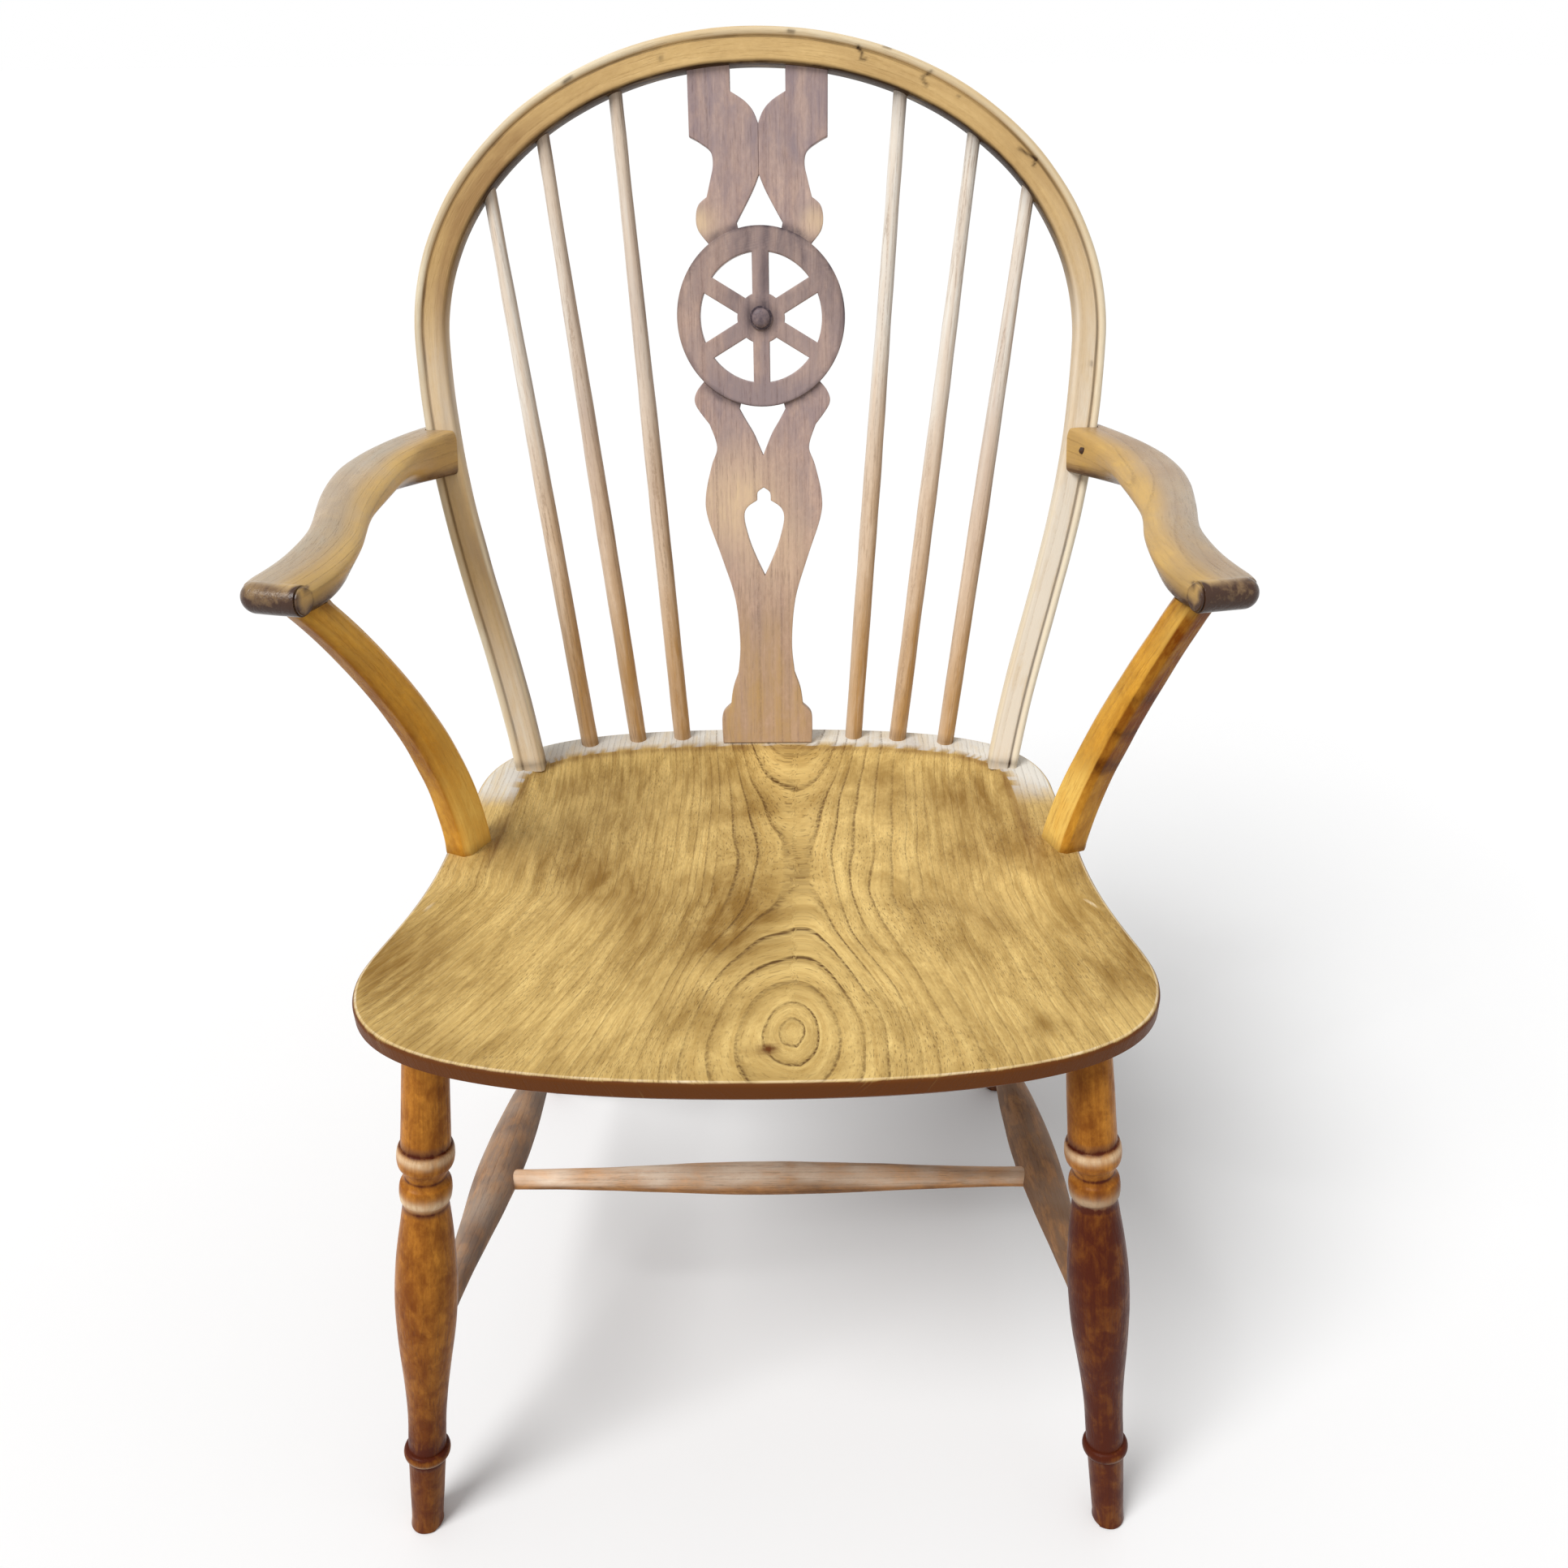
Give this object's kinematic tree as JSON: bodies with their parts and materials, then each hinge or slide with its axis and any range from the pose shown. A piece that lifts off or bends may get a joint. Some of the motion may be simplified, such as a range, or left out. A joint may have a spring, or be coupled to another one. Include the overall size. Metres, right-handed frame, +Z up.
{
  "type": "windsor armchair",
  "caption": "Windsor armchair with a bent bow back of plain sticks and a pierced wheel splat, sawn arms on curved posts, saddled seat and turned legs with an H stretcher.",
  "frame": {"origin": "on the floor under the middle of the chair's box", "axes": "+Z up, -Y the way the sitter faces, +X to the sitter's left"},
  "size_m": [0.5794, 0.5114, 0.9342],
  "materials": {
    "elm_seat": "worn wax",
    "ash_bow": "worn wax",
    "ash_sticks": "dull wax",
    "fruitwood_splat": "faded polish",
    "brown_arms": "polished by hands",
    "amber_posts": "polish",
    "red_brown_legs": "worn polish",
    "dusty_stretchers": "dusty wax",
    "iron_fixings": "rusted"
  },
  "bodies": {
    "root": {"arm_left": "brown_arms", "arm_nail_right": "iron_fixings", "arm_post_left": "amber_posts", "arm_post_right": "amber_posts", "arm_right": "brown_arms", "arm_screw_left": "iron_fixings", "arm_screw_right": "iron_fixings", "bow": "ash_bow", "bow_wedge_left": "ash_sticks", "bow_wedge_right": "ash_sticks", "cross_stretcher": "dusty_stretchers", "leg_back_left": "red_brown_legs", "leg_back_right": "red_brown_legs", "leg_front_left": "red_brown_legs", "leg_front_right": "red_brown_legs", "seat": "elm_seat", "side_stretcher_left": "dusty_stretchers", "side_stretcher_right": "dusty_stretchers", "spindle_left_1": "ash_sticks", "spindle_left_2": "ash_sticks", "spindle_left_3": "ash_sticks", "spindle_right_1": "ash_sticks", "spindle_right_2": "ash_sticks", "spindle_right_3": "ash_sticks", "splat": "fruitwood_splat", "wheel_boss": "fruitwood_splat"}
  },
  "joints": []
}
